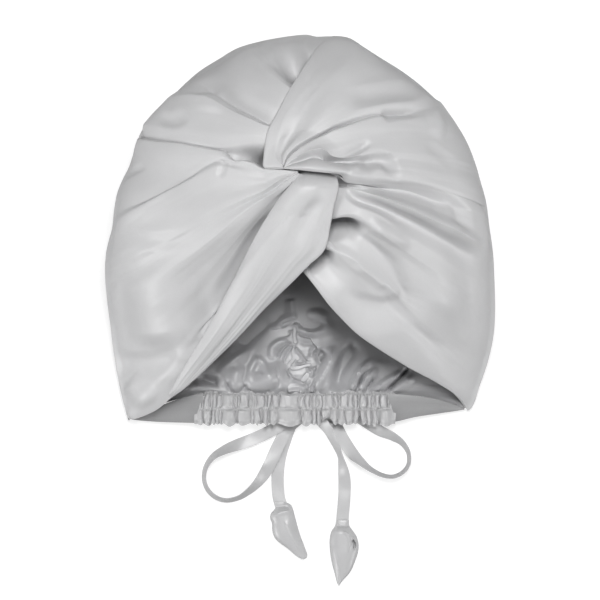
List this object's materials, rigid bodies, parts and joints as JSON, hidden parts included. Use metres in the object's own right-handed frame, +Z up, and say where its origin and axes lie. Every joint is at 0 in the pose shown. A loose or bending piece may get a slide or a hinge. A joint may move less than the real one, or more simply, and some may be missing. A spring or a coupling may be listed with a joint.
{
  "type": "hair bonnet",
  "caption": "Satin hair bonnet lying on its back, with a twisted turban front, face opening, gathered nape channel and a ribbon tied in a bow with bud ends.",
  "frame": {"origin": "middle of the cap's outline on the table that it lies on; the ties are left out of it", "axes": "+X towards the right of the picture, +Y towards the crown, +Z up from the table through the front of the cap"},
  "size_m": [0.2832, 0.3956, 0.1314],
  "materials": {
    "satin": "silver grey polyester satin, soft sheen",
    "satin_inside": "wrong side of the satin, duller",
    "ribbon": "double faced satin ribbon",
    "elastic": "white woven elastic"
  },
  "bodies": {
    "bonnet": {"crown_left_panel": "satin", "right_front_panel": "satin", "left_front_panel": "satin", "front_band": "satin", "twist_fold": "satin", "back_left_panel": "satin_inside", "back_right_panel": "satin_inside", "centre_back_channel": "satin_inside", "centre_back_elastic": "elastic", "nape_channel": "satin_inside", "nape_hem_left": "satin_inside", "nape_hem_right": "satin_inside", "nape_elastic_left": "elastic", "nape_elastic_right": "elastic", "drawcord_left": "ribbon", "drawcord_right": "ribbon", "buttonhole_edging_left": "satin_inside", "buttonhole_edging_right": "satin_inside", "bow_knot": "ribbon"},
    "bow": {"left_loop": "ribbon", "right_loop": "ribbon", "left_tail_root": "ribbon", "right_tail_root": "ribbon"},
    "left_tie": {"left_tail": "ribbon", "left_tulip_end": "ribbon"},
    "right_tie": {"right_tail": "ribbon", "right_tulip_end": "ribbon"}
  },
  "joints": [
    {"name": "bow_lift", "type": "hinge", "parent": "bonnet", "child": "bow", "pos_m": [0.009, -0.1412, 0.0037], "axis": [-1, 0, 0], "range_deg": [0, 45]},
    {"name": "left_tail_lift", "type": "hinge", "parent": "bow", "child": "left_tie", "pos_m": [-0.0158, -0.1825, 0.0011], "axis": [-1, 0, 0], "range_deg": [0, 50]},
    {"name": "right_tail_lift", "type": "hinge", "parent": "bow", "child": "right_tie", "pos_m": [0.0327, -0.1825, 0.0011], "axis": [-1, 0, 0], "range_deg": [0, 50]}
  ]
}
